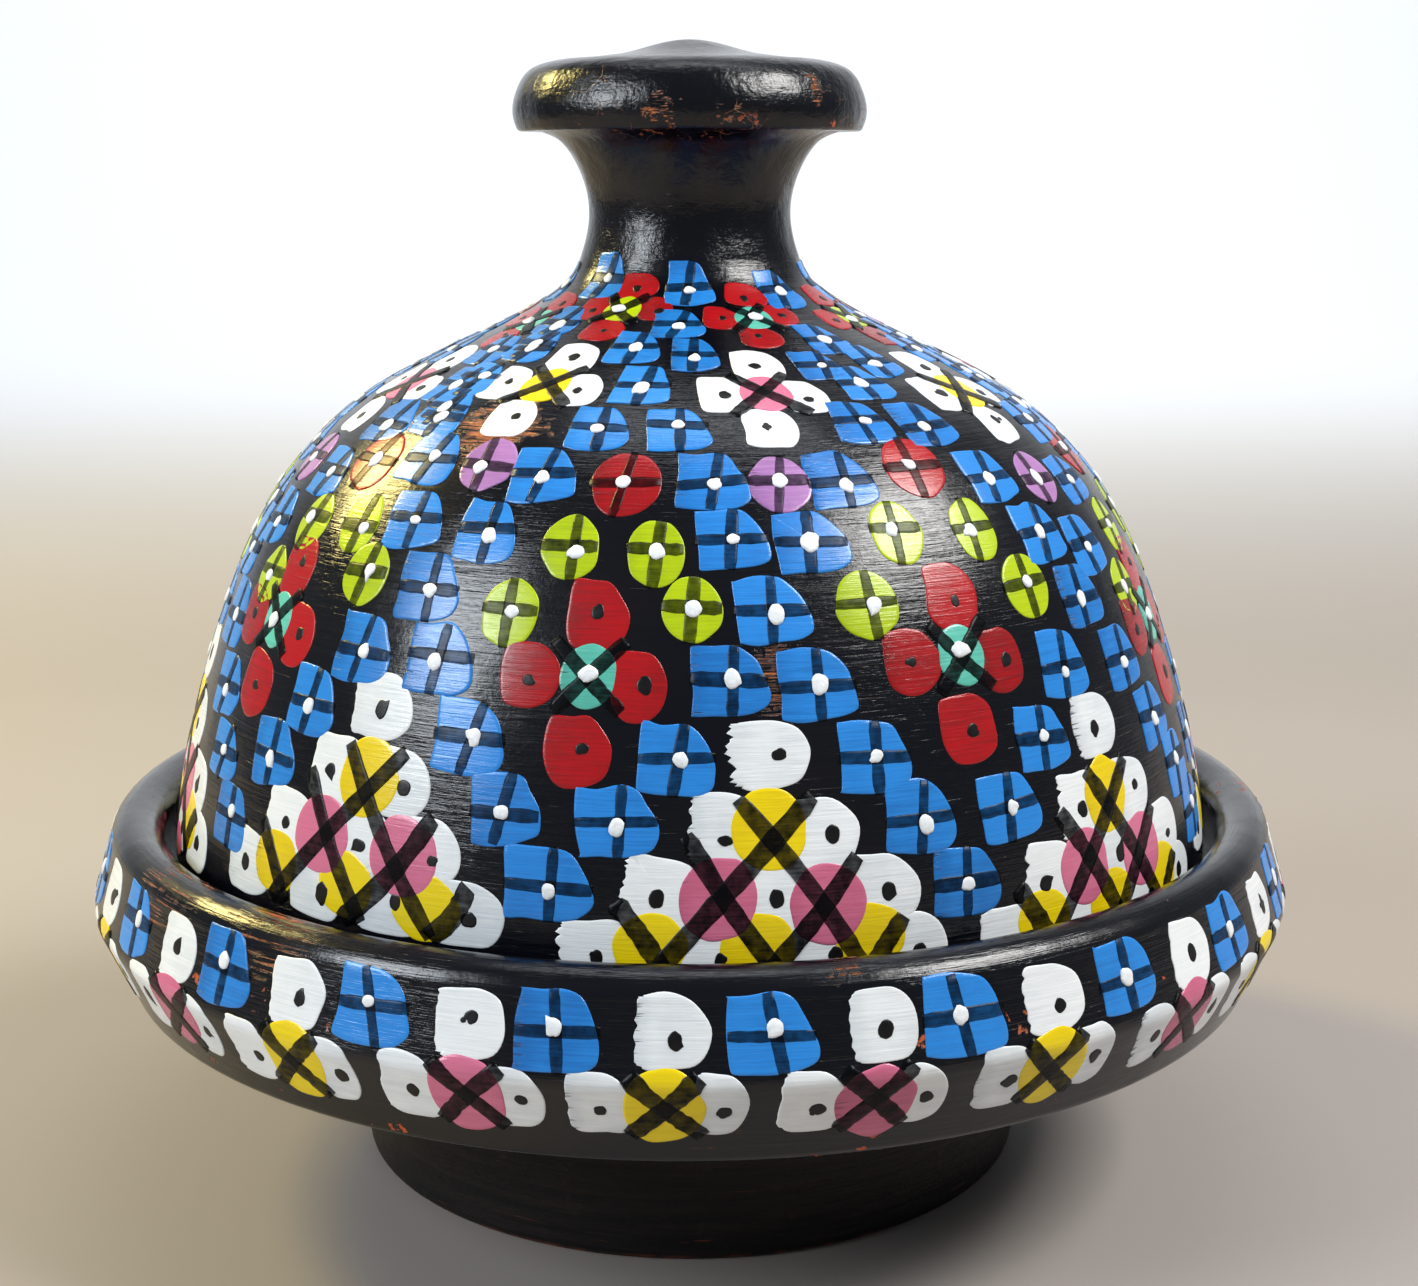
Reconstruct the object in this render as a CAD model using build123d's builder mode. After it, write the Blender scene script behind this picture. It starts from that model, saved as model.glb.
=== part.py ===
from build123d import *
import os

os.makedirs("parts", exist_ok=True)

# Small painted serving tagine: a footed dish and a domed lid that rests in it.
# Everything is turned on one vertical axis. The origin is the middle of the foot, on the table.

# ---- dish ----------------------------------------------------------------
FOOT_OUTER_R = 39.6      # where the foot ring stands on the table
FOOT_TOP_R = 41.0        # the foot ring spreads slightly towards the bowl
FOOT_INNER_R = 33.0      # recess inside the foot ring
FOOT_H = 14.0            # the bowl is luted on at this height
FOOT_EDGE = 1.4          # worn rounding of the standing edge

RIM_R = 70.6             # widest line of the dish, the crease of the painted band
RIM_CREASE_Z = 33.4
BAND_LOWER_R = 66.6      # lower edge of the painted band
BAND_LOWER_Z = 24.4
CREST_R = 65.4           # middle of the rolled crest
CREST_Z = 40.4
CREST_ROLL = 3.0         # radius of the roll

GALLERY_R = 62.4         # wall of the seat that keeps the lid in place
GALLERY_Z = 36.5         # ledge that carries the lid
WELL_LIP_R = 55.6        # inner edge of the ledge
WELL_FLOOR_R = 33.0
WELL_FLOOR_Z = 19.0

# ---- lid -----------------------------------------------------------------
LID_EDGE_R = 61.2        # lid at its foot, 1.2 mm clear of the gallery wall
LID_INNER_R = 56.6
LID_TOP_Z = 106.0        # the knob is luted on here
LID_INNER_TOP_Z = 95.0   # roof of the hollow, on the axis

NECK_BASE_R = 12.6
NECK_WAIST_R = 11.6
NECK_WAIST_Z = 111.2
KNOB_UNDER_Z = 120.0     # flat underside of the finger disc
KNOB_R = 20.2
KNOB_SHOULDER_Z = 127.8
KNOB_TOP_Z = 130.2       # tip of the low cone in the middle

# Dish foot: a turned ring, hollow inside, standing on a rounded edge.
with BuildPart() as dish_foot:
    with BuildSketch(Plane.XZ) as foot_section:
        with BuildLine():
            Polyline(
                (FOOT_INNER_R, 0),
                (FOOT_OUTER_R, 0),
                (FOOT_TOP_R, FOOT_H),
                (FOOT_INNER_R - 1.5, FOOT_H),
                (FOOT_INNER_R, 0),
            )
        make_face()
        standing = foot_section.vertices().group_by(Axis.Y)[0]
        fillet(standing, radius=FOOT_EDGE)
    revolve(axis=Axis.Z)
dish_foot.part.label = "dish_foot"
export_step(dish_foot.part, "parts/dish_foot.step")

# Dish bowl: shallow well, ledge and gallery wall for the lid, rolled crest,
# then the painted band that leans out to a crease and back in to its lower edge.
with BuildPart() as dish_bowl:
    with BuildSketch(Plane.XZ) as bowl_section:
        with BuildLine():
            roll_in = (CREST_R - CREST_ROLL, CREST_Z)
            roll_top = (CREST_R, CREST_Z + CREST_ROLL)
            roll_out = (CREST_R + CREST_ROLL, CREST_Z + 0.4)
            Line((0, FOOT_H), (FOOT_TOP_R + 0.5, FOOT_H))
            Spline(
                (FOOT_TOP_R + 0.5, FOOT_H),
                (53.0, 18.4),
                (BAND_LOWER_R, BAND_LOWER_Z),
                tangents=[(1, 0.12), (1, 0.55)],
            )
            Line((BAND_LOWER_R, BAND_LOWER_Z), (RIM_R, RIM_CREASE_Z))
            Line((RIM_R, RIM_CREASE_Z), roll_out)
            ThreePointArc(roll_out, roll_top, roll_in)
            Line(roll_in, (GALLERY_R, GALLERY_Z))
            Line((GALLERY_R, GALLERY_Z), (WELL_LIP_R, GALLERY_Z))
            Spline(
                (WELL_LIP_R, GALLERY_Z),
                (49.0, 25.4),
                (WELL_FLOOR_R, WELL_FLOOR_Z),
                tangents=[(-0.15, -1), (-1, -0.06)],
            )
            Line((WELL_FLOOR_R, WELL_FLOOR_Z), (0, WELL_FLOOR_Z))
            Line((0, WELL_FLOOR_Z), (0, FOOT_H))
        make_face()
        corners = bowl_section.vertices()
        crease = corners.sort_by(Axis.X)[-1]
        fillet(crease, radius=1.8)
        lower_edge = bowl_section.vertices().sort_by_distance((BAND_LOWER_R, BAND_LOWER_Z))[0]
        fillet(lower_edge, radius=1.5)
        well_lip = bowl_section.vertices().sort_by_distance((WELL_LIP_R, GALLERY_Z))[0]
        fillet(well_lip, radius=1.0)
    revolve(axis=Axis.Z)
dish_bowl.part.label = "dish_bowl"
export_step(dish_bowl.part, "parts/dish_bowl.step")

# Lid dome: a hollow bell with a flat, rounded bottom edge that sits on the ledge.
with BuildPart() as lid_dome:
    with BuildSketch(Plane.XZ) as dome_section:
        with BuildLine():
            Line((LID_INNER_R, GALLERY_Z), (LID_EDGE_R, GALLERY_Z))
            Spline(
                (LID_EDGE_R, GALLERY_Z),
                (59.4, 50.0),
                (56.7, 60.0),
                (53.2, 70.0),
                (48.0, 80.0),
                (43.0, 86.0),
                (38.3, 90.0),
                (31.3, 94.0),
                (22.9, 98.0),
                (17.0, 101.0),
                (14.0, 103.4),
                (NECK_BASE_R, LID_TOP_Z),
                tangents=[(-0.04, 1), (-0.34, 1)],
            )
            Line((NECK_BASE_R, LID_TOP_Z), (0, LID_TOP_Z))
            Line((0, LID_TOP_Z), (0, LID_INNER_TOP_Z))
            Spline(
                (0, LID_INNER_TOP_Z),
                (20.0, 92.4),
                (34.0, 85.8),
                (42.6, 78.0),
                (48.2, 68.0),
                (53.4, 52.0),
                (LID_INNER_R, GALLERY_Z),
                tangents=[(1, 0), (0.08, -1)],
            )
        make_face()
        seat_corners = dome_section.vertices().group_by(Axis.Y)[0]
        fillet(seat_corners, radius=1.6)
    revolve(axis=Axis.Z)
lid_dome.part.label = "lid_dome"
export_step(lid_dome.part, "parts/lid_dome.step")

# Lid knob: waisted neck flaring into a finger disc with a low cone on top.
with BuildPart() as lid_knob:
    with BuildSketch(Plane.XZ) as knob_section:
        with BuildLine():
            Line((0, LID_TOP_Z), (NECK_BASE_R, LID_TOP_Z))
            Spline(
                (NECK_BASE_R, LID_TOP_Z),
                (NECK_WAIST_R, NECK_WAIST_Z),
                (12.3, 114.8),
                (14.3, 118.4),
                (17.2, KNOB_UNDER_Z),
                tangents=[(-0.34, 1), (1, 0.30)],
            )
            Line((17.2, KNOB_UNDER_Z), (KNOB_R - 0.6, KNOB_UNDER_Z))
            Spline(
                (KNOB_R - 0.6, KNOB_UNDER_Z),
                (KNOB_R, KNOB_UNDER_Z + 2.2),
                (19.6, 124.8),
                (18.0, 126.9),
                (15.2, KNOB_SHOULDER_Z),
                (8.6, 128.5),
                tangents=[(0.5, 1), (-1, 0.13)],
            )
            Spline(
                (8.6, 128.5),
                (4.4, 129.5),
                (0, KNOB_TOP_Z),
                tangents=[(-1, 0.13), (-1, 0)],
            )
            Line((0, KNOB_TOP_Z), (0, LID_TOP_Z))
        make_face()
        under_edge = knob_section.vertices().sort_by_distance((KNOB_R - 0.6, KNOB_UNDER_Z))[0]
        fillet(under_edge, radius=0.6)
    revolve(axis=Axis.Z)
lid_knob.part.label = "lid_knob"
export_step(lid_knob.part, "parts/lid_knob.step")
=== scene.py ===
# %% [markdown]
# # A hand-painted tagine pot
# The pot is two fired pieces: a footed dish and a bell-shaped lid that rests in the dish's rim.
# Their turned shapes come from the CAD model and are never touched here. What this lesson adds is
# the finish: black lacquer with turning ridges, and nearly two thousand marks laid on it by hand.
# First the imported model is loaded; a small helper reads the box of any piece.

# %% Load the turned pieces
import math
import random

import bpy
import numpy as np
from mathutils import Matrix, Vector


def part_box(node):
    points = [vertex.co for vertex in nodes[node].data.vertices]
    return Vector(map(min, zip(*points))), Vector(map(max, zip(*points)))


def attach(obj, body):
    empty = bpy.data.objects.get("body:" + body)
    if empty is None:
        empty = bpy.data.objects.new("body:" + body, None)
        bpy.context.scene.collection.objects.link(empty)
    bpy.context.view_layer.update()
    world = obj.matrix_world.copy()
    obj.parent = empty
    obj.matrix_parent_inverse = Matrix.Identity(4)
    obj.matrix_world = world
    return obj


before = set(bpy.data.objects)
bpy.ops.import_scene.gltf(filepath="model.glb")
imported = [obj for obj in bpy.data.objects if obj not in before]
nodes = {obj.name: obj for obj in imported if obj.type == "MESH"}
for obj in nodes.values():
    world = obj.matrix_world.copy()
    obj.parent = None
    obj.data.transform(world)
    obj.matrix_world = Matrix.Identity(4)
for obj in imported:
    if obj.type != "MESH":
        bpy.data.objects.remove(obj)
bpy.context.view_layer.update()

MM = 0.001
print("turned pieces:", sorted(nodes))

# %% [markdown]
# ## Reading the turned walls
# Paint follows the clay, so every brush mark needs to know where the wall is. The wall is a surface
# of revolution, which means one side profile describes it all. We could copy numbers from the CAD,
# but then a change there would leave the paint hanging in the air. So rays are shone at the pieces
# from outside, and the places where they land become a list of heights and radii.
# A point on the wall is then named the way a painter would: how far round, in degrees, and how far
# up along the clay, in millimetres. Zero degrees faces the viewer, and the right side is positive.

# %% A wall that can be painted on
FEELERS = (0.1, 0.9, 2.3, 3.4, 4.4, 5.5)   # radians round the axis, unevenly spaced on purpose
OUTSIDE = 0.3                              # metres from the axis, well clear of the pot


class Wall:
    """One side profile of turned clay, read with rays, measured along the clay."""

    def __init__(self, names, low, high, steps, upward=True):
        bpy.context.view_layer.update()
        heights = np.linspace(low, high, steps)
        radii = np.array([self.feel(names, z) for z in heights])
        soft = np.hanning(7)                 # evens out the facets of the CAD mesh
        padded = np.pad(radii, len(soft) // 2, mode="reflect", reflect_type="odd")
        radii = np.convolve(padded, soft / soft.sum(), mode="valid")
        if not upward:
            heights, radii = heights[::-1], radii[::-1]
        self.z, self.r = heights, radii
        run = np.hypot(np.diff(heights), np.diff(radii))
        self.s = np.concatenate([[0], np.cumsum(run)]) / MM
        self.sense = 1 if upward else -1
        self.out = np.gradient(heights, self.s) / MM * self.sense
        self.up = -np.gradient(radii, self.s) / MM * self.sense

    @staticmethod
    def feel(names, z):
        """The outer radius at height z, felt from a few sides so that no single facet decides."""
        reach = []
        for turn in FEELERS:
            side = Vector((math.cos(turn), math.sin(turn), 0))
            for name in names:
                hit, where, _, _ = nodes[name].ray_cast(side * OUTSIDE + Vector((0, 0, z)), -side)
                if hit:
                    reach.append(math.hypot(where.x, where.y))
        return max(reach)

    def per_mm(self, s):
        """How many degrees one millimetre takes, level, s mm along the clay."""
        return math.degrees(MM / float(np.interp(s, self.s, self.r)))

    def place(self, turn, s, lift):
        """Points at turn degrees round, s mm along the clay, lift mm proud of it."""
        r = np.interp(s, self.s, self.r) + lift * MM * np.interp(s, self.s, self.out)
        z = np.interp(s, self.s, self.z) + lift * MM * np.interp(s, self.s, self.up)
        a = np.radians(turn)
        return np.stack([r * np.sin(a), -r * np.cos(a), z + 0 * a], axis=-1)


LID_EDGE = 0.5 * MM      # the rounded bottom edge of the lid stays black
LID_TALL = 76 * MM       # the highest paint is just under the neck's waist
CREST = 0.05 * MM        # the very top of the rim, where its side profile turns inwards
BAND_TALL = 19 * MM
lid_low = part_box("lid_dome")[0][2]
lid_wall = Wall(["lid_dome", "lid_knob"], lid_low + LID_EDGE, lid_low + LID_TALL, 520)
rim_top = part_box("dish_bowl")[1][2]
rim_wall = Wall(["dish_bowl"], rim_top - BAND_TALL, rim_top - CREST, 240, upward=False)
print("lid wall, mm along the clay:", round(float(lid_wall.s[-1]), 1))
print("rim band, mm along the clay:", round(float(rim_wall.s[-1]), 1))

# %% [markdown]
# ## Brush marks as thin pieces of paint
# On the real pot each mark is one touch of a loaded brush: a straight, slightly ragged edge where
# the brush lands and a round belly where it lifts. The paint stands about a tenth of a millimetre
# proud, and its edge catches the light. An image texture could carry the colours, but not the edge.
# So each mark is a small mesh: an outline, rounded over at its border, draped on the wall.
# Each point also remembers how the brush met it: how far from the landing edge, how high, and one
# lucky number for the whole touch. The finish reads these as "brush", and dries the edges with them.
# A Tray collects the marks of one colour and becomes one object, which keeps the scene light.

# %% A tray of marks in one colour
class Tray:
    """Collects the marks of one colour on one body and turns them into one mesh."""

    def __init__(self, name, body, slot):
        self.name, self.body, self.slot = name, body, slot
        self.points, self.brush, self.faces, self.count = [], [], [], 0

    def take(self, points, brush):
        """Keeps some points and how the brush met them, and says the number of the first one."""
        first = sum(len(p) for p in self.points)
        points = np.asarray(points).reshape(-1, 3)
        self.points.append(points)
        self.brush.append(np.broadcast_to(brush, points.shape))
        return first

    def add_rings(self, rings, middle, brush, luck):
        """Joins rings of points, closes the first as the back and caps the last on a middle point."""
        size, levels = len(rings[0]), len(rings)
        first = self.take(np.concatenate(rings), brush)
        hub = self.take(middle, (0.5, 0.5, luck))
        made = [tuple(range(first + size - 1, first - 1, -1))]
        for level in range(levels - 1):
            a, b = first + level * size, first + (level + 1) * size
            made += [(a + i, a + (i + 1) % size, b + (i + 1) % size, b + i) for i in range(size)]
        last = first + (levels - 1) * size
        self.faces += made + [(last + i, last + (i + 1) % size, hub) for i in range(size)]
        self.count += 1

    def add_strip(self, rows, sense, luck):
        """Joins rows of points, each across the stroke, into a closed sliver of paint."""
        width, levels = len(rows[0]), len(rows)
        along = np.repeat(np.linspace(0, 1, levels), width)
        across = np.tile(np.linspace(0, 1, width), levels)
        first = self.take(np.concatenate(rows), np.stack([along, across, along * 0 + luck], axis=-1))
        made = []
        for k in range(levels - 1):
            a = first + k * width
            made += [(a + i, a + width + i, a + width + i + 1, a + i + 1) for i in range(width - 1)]
            made.append((a + width - 1, a + 2 * width - 1, a + width, a))
        made.append(tuple(first + i for i in range(width)))
        made.append(tuple(first + levels * width - 1 - i for i in range(width)))
        self.faces += made if sense > 0 else [f[::-1] for f in made]
        self.count += 1

    def fire(self, finish):
        """Makes the object, smooth-shaded, with its finish, riding on its body."""
        mesh = bpy.data.meshes.new(self.name)
        mesh.from_pydata(np.concatenate(self.points).tolist(), [], self.faces)
        brush = mesh.attributes.new("brush", "FLOAT_VECTOR", "POINT")
        brush.data.foreach_set("vector", np.concatenate(self.brush).astype(np.float32).ravel())
        mesh.shade_smooth()
        mesh.set_sharp_from_angle(angle=math.radians(75))
        mesh.materials.append(finish.material)
        piece = bpy.data.objects.new(self.name, mesh)
        bpy.context.scene.collection.objects.link(piece)
        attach(piece, self.body)
        print(f"{self.name}: {self.count} marks, {len(mesh.polygons)} faces")


# %% [markdown]
# ## Outlines of a brush touch
# Four outlines are enough. The touch starts with a straight left edge and swells to the lower right.
# The spot is a turned brush, nearly round. The petal and its plump brother lie between the two. Each
# is a short loop of corner points, smoothed, and every mark bends it a little with its own random
# draw, because no two touches of a brush agree.
# The lid is gently round, but the rim and the neck bend sharply, and marks there get more rings.
# The neck is hollow in section, so a flat back would stick out through the paint: there the back
# follows the clay as well.

# %% Outlines and how a mark is laid
hand = random.Random(4127)

TOUCH = [(-0.50, 0.46), (-0.46, 0.50), (-0.22, 0.50), (0.06, 0.50), (0.24, 0.42), (0.37, 0.22), (0.46, 0.00),
         (0.50, -0.20), (0.46, -0.37), (0.30, -0.46), (0.04, -0.50), (-0.24, -0.50),
         (-0.45, -0.48), (-0.49, -0.42), (-0.50, -0.15), (-0.50, 0.15)]
SPOT = [(0.50 * math.cos(t), 0.50 * math.sin(t)) for t in np.linspace(0, 2 * math.pi, 14)[:-1]]
PETAL = [(-0.47, 0.40), (-0.36, 0.49), (-0.10, 0.50), (0.16, 0.47), (0.38, 0.30), (0.50, 0.02), (0.40, -0.32),
         (0.14, -0.49), (-0.16, -0.50), (-0.40, -0.40), (-0.49, -0.16), (-0.49, 0.14)]
PLUMP = [(-0.47, 0.42), (-0.40, 0.49), (-0.12, 0.50), (0.16, 0.47), (0.38, 0.32), (0.50, 0.06), (0.47, -0.24),
         (0.30, -0.45), (0.02, -0.50), (-0.26, -0.49), (-0.43, -0.44), (-0.49, -0.34), (-0.50, -0.05),
         (-0.49, 0.22)]


def smooth_loop(corners, count):
    """A closed loop of count points that rounds its way past the corners."""
    c = np.array(corners)
    size = len(c)
    t = np.arange(count) * size / count
    k = t.astype(int)
    f = (t - k)[:, None]
    p0, p1, p2, p3 = (c[(k + n) % size] for n in (-1, 0, 1, 2))
    bend = 2 * p0 - 5 * p1 + 4 * p2 - p3
    return 0.5 * (2 * p1 + (p2 - p0) * f + bend * f**2 + (3 * p1 - p0 - 3 * p2 + p3) * f**3)


# Rings of a mark: (size of the ring, share of the lift); a share below 0 is mm under the clay.
UNDER = -0.05
BACK = [(0.15, UNDER), (0.45, UNDER), (0.75, UNDER)]
BORDER = [(1.0, UNDER), (0.996, 0.45), (0.970, 0.90), (0.90, 1.0)]
FEW = [(0.60, 1.0), (0.30, 1.0)]
MANY = [(k / 100, 1.0) for k in (78, 65, 52, 39, 26, 13)]
HOLLOW_FROM = 72      # mm up the lid's clay, where the bell turns hollow
TORN = 0.3            # mm, from where a ragged landing edge is torn enough to need more points


def lay_mark(tray, wall, turn, s, wide, high, outline, proud, ragged=0.0):
    """Drapes one touch of paint, wide by high mm, round the place turn degrees, s mm."""
    count = 76 if ragged > TORN else 48 if wide > 5 else 34
    bent = [(x + hand.gauss(0, 0.014), y + hand.gauss(0, 0.014)) for x, y in outline]
    loop = smooth_loop(bent, count)
    loop[:, 1] *= wall.sense
    if np.sum(loop[:, 0] * np.roll(loop[:, 1], -1) - np.roll(loop[:, 0], -1) * loop[:, 1]) * wall.sense < 0:
        loop = loop[::-1].copy()
    lean = math.radians(hand.gauss(0, 2.5))
    for i in range(count if ragged else 0):
        if loop[i, 0] < -0.40:
            loop[i, 0] += (abs(hand.gauss(0, ragged)) - (ragged * 0.6 if ragged > TORN else 0)) / wide
    x = loop[:, 0] * wide
    y = loop[:, 1] * high
    around = x * math.cos(lean) - y * math.sin(lean)
    along = x * math.sin(lean) + y * math.cos(lean)
    per_mm = wall.per_mm(s)
    hollow = wall.sense > 0 and s > HOLLOW_FROM
    profile = (BACK if hollow else []) + BORDER + (MANY if hollow or wall.sense < 0 else FEW)
    rings = [wall.place(turn + around * size * per_mm, s + along * size,
                        proud * share if share > 0 else share)
             for size, share in profile]
    luck = hand.random()
    same = loop[:, 0] * 0 + luck
    brush = [np.stack([0.5 + loop[:, 0] * size, 0.5 + loop[:, 1] * size * wall.sense, same], axis=-1)
             for size, _ in profile]
    tray.add_rings(rings, wall.place(np.array(turn), np.array(s), proud), np.concatenate(brush), luck)


def lay_blob(tray, wall, turn, s, size, tall, base, stretch, tail=0.0):
    """A bead of thick paint left by the end of a stick, with a slightly uneven rim."""
    count = 16
    a = np.linspace(0, 2 * math.pi, count, endpoint=False) * wall.sense
    reach = np.array([1 + hand.gauss(0, 0.10) for _ in a])
    reach = (reach + np.roll(reach, 1)) / 2
    if tail:
        reach += tail * np.exp(-((np.abs(a) - hand.uniform(0, 6.28)) ** 2) / 0.08)
    per_mm = wall.per_mm(s)
    rings = []
    for share, rise in ((1.0, 0.0), (0.93, 0.45), (0.74, 0.80), (0.42, 0.97)):
        x = np.cos(a) * reach * size / 2 * share
        y = np.sin(a) * reach * size / 2 * stretch * share
        rings.append(wall.place(turn + x * per_mm, s + y, base + (tall * rise if rise else -0.06)))
    luck = hand.random()
    tray.add_rings(rings, wall.place(np.array(turn), np.array(s), base + tall), (0.5, 0.5, luck), luck)


def lay_stroke(tray, wall, start, end, wide, proud, bow=0.0, steps=9, strong=1.0):
    """A thin dark stroke from start to end, both (degrees, mm), a little uneven in width."""
    rows = []
    per_mm = wall.per_mm((start[1] + end[1]) / 2)
    dx, dy = (end[0] - start[0]) / per_mm, end[1] - start[1]
    length = math.hypot(dx, dy)
    nx, ny = -dy / length, dx / length
    waver = [1 + hand.gauss(0, 0.05) for _ in range(steps)]
    shape = np.array([-1.0, -0.9, -0.5, 0.0, 0.5, 0.9, 1.0])
    sink = -0.03         # mm, so that the sliver closes under the clay
    rise = np.array([sink, 0.9 * proud, proud, proud, proud, 0.9 * proud, sink])
    for k in [0, *range(steps), steps - 1]:
        sunk = k in (0, steps - 1) and len(rows) in (0, steps + 1)
        t = k / (steps - 1) + (-0.01 if sunk and k == 0 else 0.01 if sunk else 0)
        tip = min(1.0, 0.80 + 3.0 * max(0, min(t, 1 - t)) * min(1.0, length / 8))
        across = shape * wide / 2 * waver[k] * tip + bow * math.sin(math.pi * t)
        turn = start[0] + (end[0] - start[0]) * t + across * nx * per_mm
        s = start[1] + dy * t + across * ny
        rows.append(wall.place(turn, s, rise * 0 + sink if sunk else rise))
    tray.add_strip(rows, wall.sense, strong + hand.uniform(-0.15, 0.15))


print("outlines:", len(TOUCH), len(SPOT), len(PETAL), len(PLUMP), "corner points")

# %% [markdown]
# ## The trays
# The painter worked colour by colour, and so do we: one tray per colour and per body, because the
# lid has to lift off with all its own paint. Dark strokes and dots come last, as on the real pot.

# %% Lay out the trays
COLOURS = ["blue", "white", "yellow", "pink", "red", "lime", "turquoise", "lilac"]
lid = {c: Tray(f"lid_{c}_dabs", "lid", f"paint_{c}") for c in COLOURS}
lid["stroke"] = Tray("lid_dark_strokes", "lid", "paint_black")
lid["ink"] = Tray("lid_black_dots", "lid", "paint_black")
lid["bead"] = Tray("lid_white_beads", "lid", "paint_white")
rim = {c: Tray(f"rim_{c}_dabs", "dish", f"paint_{c}") for c in ("blue", "white", "yellow", "pink")}
rim["stroke"] = Tray("rim_dark_strokes", "dish", "paint_black")
rim["ink"] = Tray("rim_black_dots", "dish", "paint_black")
rim["bead"] = Tray("rim_white_beads", "dish", "paint_white")
print(len(lid), "trays for the lid and", len(rim), "for the rim")

# %% [markdown]
# ## Motifs
# The pattern is made of a few motifs. A crossed dab is one touch of colour with a dark upright and a
# dark level stroke over it and a white bead where they meet. A flower is four petals round a centre
# that is crossed out with a slanting cross. Writing each motif once keeps the pattern readable,
# and the random draws inside it keep the repeats from looking stamped.

# %% Crossed dabs, flowers and inked petals
# How far each kind of mark stands proud, mm: what was painted later lies higher.
OVER = 0.012          # and this much more where the second stroke of a pair crosses the first
LAYER = {"white": 0.066, "red": 0.074, "lime": 0.074, "blue": 0.082, "lilac": 0.090, "yellow": 0.097,
         "pink": 0.110, "heart": 0.110, "low stroke": 0.110, "stroke": 0.138, "rim stroke": 0.15}


def jog(amount):
    return hand.gauss(0, amount)


def crossed_dab(trays, wall, colour, turn, s, wide, high, outline=TOUCH, slip=(0.0, 0.0)):
    """One touch of colour, crossed by two dark strokes, with a white bead near the crossing."""
    per_mm = wall.per_mm(s)
    lay_mark(trays[colour], wall, turn, s, wide, high, outline, LAYER[colour])
    x, y = turn + (slip[0] + jog(0.25)) * per_mm, s + slip[1] + jog(0.25)
    left, right = turn - (wide / 2 + 0.05) * per_mm, turn + (wide / 2 - 0.15) * per_mm
    lean = jog(0.25)
    lay_stroke(trays["stroke"], wall, (left, y - lean / 2), (right, y + lean / 2), 1.45 + jog(0.14),
               LAYER["low stroke"], strong=0.2)
    lean = 0.35 + jog(0.35)
    lay_stroke(trays["stroke"], wall, (x - lean * per_mm, s - high / 2), (x + lean * per_mm, s + high / 2),
               1.25 + jog(0.12), LAYER["low stroke"] + OVER, strong=0.1)
    lay_blob(trays["bead"], wall, x + jog(0.25) * per_mm, y - 0.25 + jog(0.3), 1.55 + jog(0.14), 0.20, 0.10,
             1.08 + jog(0.14), tail=max(0.0, jog(0.35)))


def inked_mark(trays, wall, colour, turn, s, wide, high, outline, ink, size, ragged=0.0):
    """A white or red touch with a dot of black ink on it, ink mm right and up of its middle."""
    per_mm = wall.per_mm(s)
    lay_mark(trays[colour], wall, turn, s, wide, high, outline, LAYER[colour], ragged)
    x, y = turn + (ink[0] + jog(0.3)) * per_mm, s + ink[1] + jog(0.3)
    lay_blob(trays["ink"], wall, x, y, size + jog(0.16), 0.03, 0.09, 1.05 + jog(0.18),
             tail=max(0.0, jog(0.5)))
    if hand.random() < 0.4:
        lay_blob(trays["ink"], wall, x + jog(0.55) * per_mm, y + jog(0.45), 0.62, 0.03, 0.09, 1.0)


def slanting_cross(trays, wall, turn, s, reach, wide=1.55):
    """Two slanting strokes that cross out a round spot."""
    per_mm = wall.per_mm(s)
    for side in (-1, 1):
        a = (turn - side * (reach * 0.72 + jog(0.2)) * per_mm, s - reach * 0.75)
        b = (turn + side * (reach * 0.72 + jog(0.2)) * per_mm, s + reach * 0.75)
        layer = LAYER["rim stroke" if wall.sense < 0 else "stroke"] + (OVER if side > 0 else 0)
        lay_stroke(trays["stroke"], wall, a, b, wide + jog(0.1), layer, jog(0.15), 20)


def flower(trays, wall, petal, centre, turn, s, petals, heart, reach, bead=None, ink=1.25):
    """Four petals round a heart; each petal is (mm right, mm up, wide, high)."""
    per_mm = wall.per_mm(s)
    for right, up, wide, high in petals:
        place = (turn + (right + jog(0.15)) * per_mm, s + up + jog(0.15))
        inked_mark(trays, wall, petal, *place, wide, high, PETAL if petal == "red" else PLUMP,
                   ink=(0.15, -0.1), size=ink)
    lay_mark(trays[centre], wall, turn, s, *heart, SPOT, LAYER["heart"])
    slanting_cross(trays, wall, turn, s, reach)
    if bead:
        lay_blob(trays["bead"], wall, turn + jog(0.4) * per_mm, s + jog(0.4), bead, 0.22, 0.13, 0.85, 0.3)


print("layers of paint, mm proud:", sorted(LAYER.values()))

# %% [markdown]
# ## The pyramid at the foot of the lid
# Ten white touches stack into a triangle, one at the top and four at the bottom. Where they meet sit
# round touches of yellow and pink, and a lattice of slanting dark strokes runs over them all.
# It could be a grid worked out by a formula, but the painter's rows close up towards the foot, so
# each row keeps its own drop from the tip and its own spacing, in millimetres.

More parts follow.
